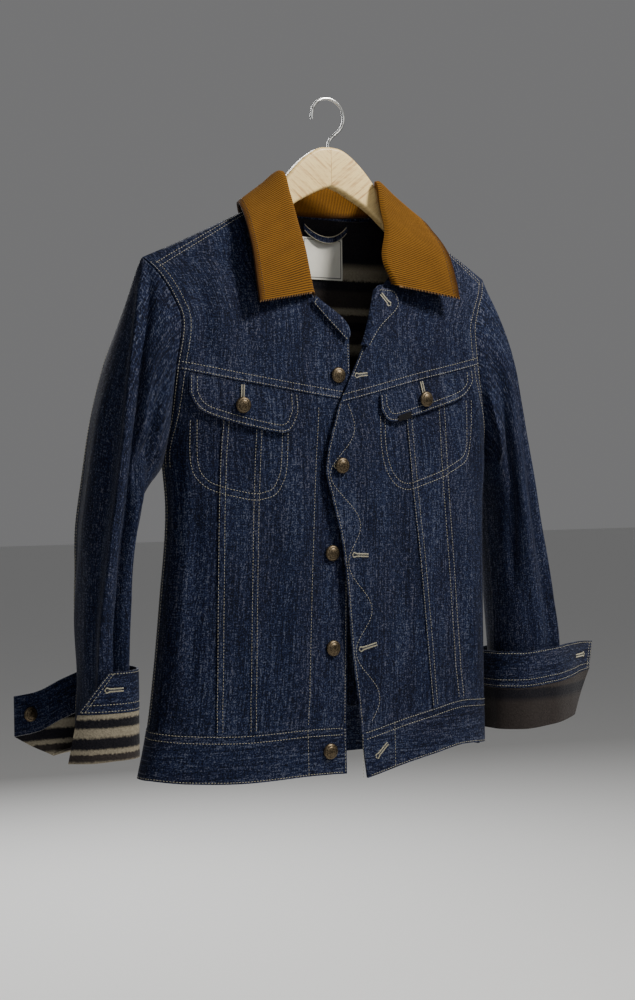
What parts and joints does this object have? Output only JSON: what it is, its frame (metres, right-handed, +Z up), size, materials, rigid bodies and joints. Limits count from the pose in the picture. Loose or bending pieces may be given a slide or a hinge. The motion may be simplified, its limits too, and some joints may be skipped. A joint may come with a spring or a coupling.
{
  "type": "denim jacket on a wooden hanger",
  "caption": "Western denim jacket with a corduroy collar, blanket lining and turned-back sleeve ends, hanging on a two-arm wooden hanger with a wire hook.",
  "frame": {"origin": "inner underside of the top of the hook, where it rests on a rail", "axes": "+Z up; -Y out of the fronts; +X towards the front with the buttonholes"},
  "size_m": [0.7033, 0.1291, 0.736],
  "materials": {
    "denim": "dark indigo warp-faced twill, unwashed",
    "corduroy": "fine-wale tan corduroy",
    "blanket": "brushed striped blanket cloth",
    "label": "plain woven label",
    "wood": "clear satin lacquer",
    "steel": "bright bent wire",
    "antique_brass": "darkened, worn bright on the dome"
  },
  "bodies": {
    "root": {"back_yoke": "denim", "back_body": "denim", "front_yoke_left": "denim", "front_yoke_right": "denim", "front_panel_left": "denim", "front_panel_right": "denim", "lapel_left": "denim", "lapel_right": "denim", "waistband_left": "denim", "waistband_right": "denim", "waistband_back": "denim", "pocket_flap_left": "denim", "pocket_flap_right": "denim", "sleeve_left": "denim", "sleeve_right": "denim", "under_sleeve_left": "denim", "under_sleeve_right": "denim", "cuff_band_left": "denim", "cuff_band_right": "denim", "hanging_loop": "denim", "collar": "corduroy", "back_lining": "blanket", "cuff_lining_left": "blanket", "cuff_lining_right": "blanket", "neck_label": "label", "flap_tab": "label", "hanger_arm_left": "wood", "hanger_arm_right": "wood", "hanger_hook": "steel", "front_button_2": "antique_brass", "front_button_3": "antique_brass", "front_button_4": "antique_brass", "front_button_5": "antique_brass", "front_button_6": "antique_brass", "flap_button_left": "antique_brass", "flap_button_right": "antique_brass", "cuff_button_left": "antique_brass", "cuff_button_right": "antique_brass"}
  },
  "joints": []
}
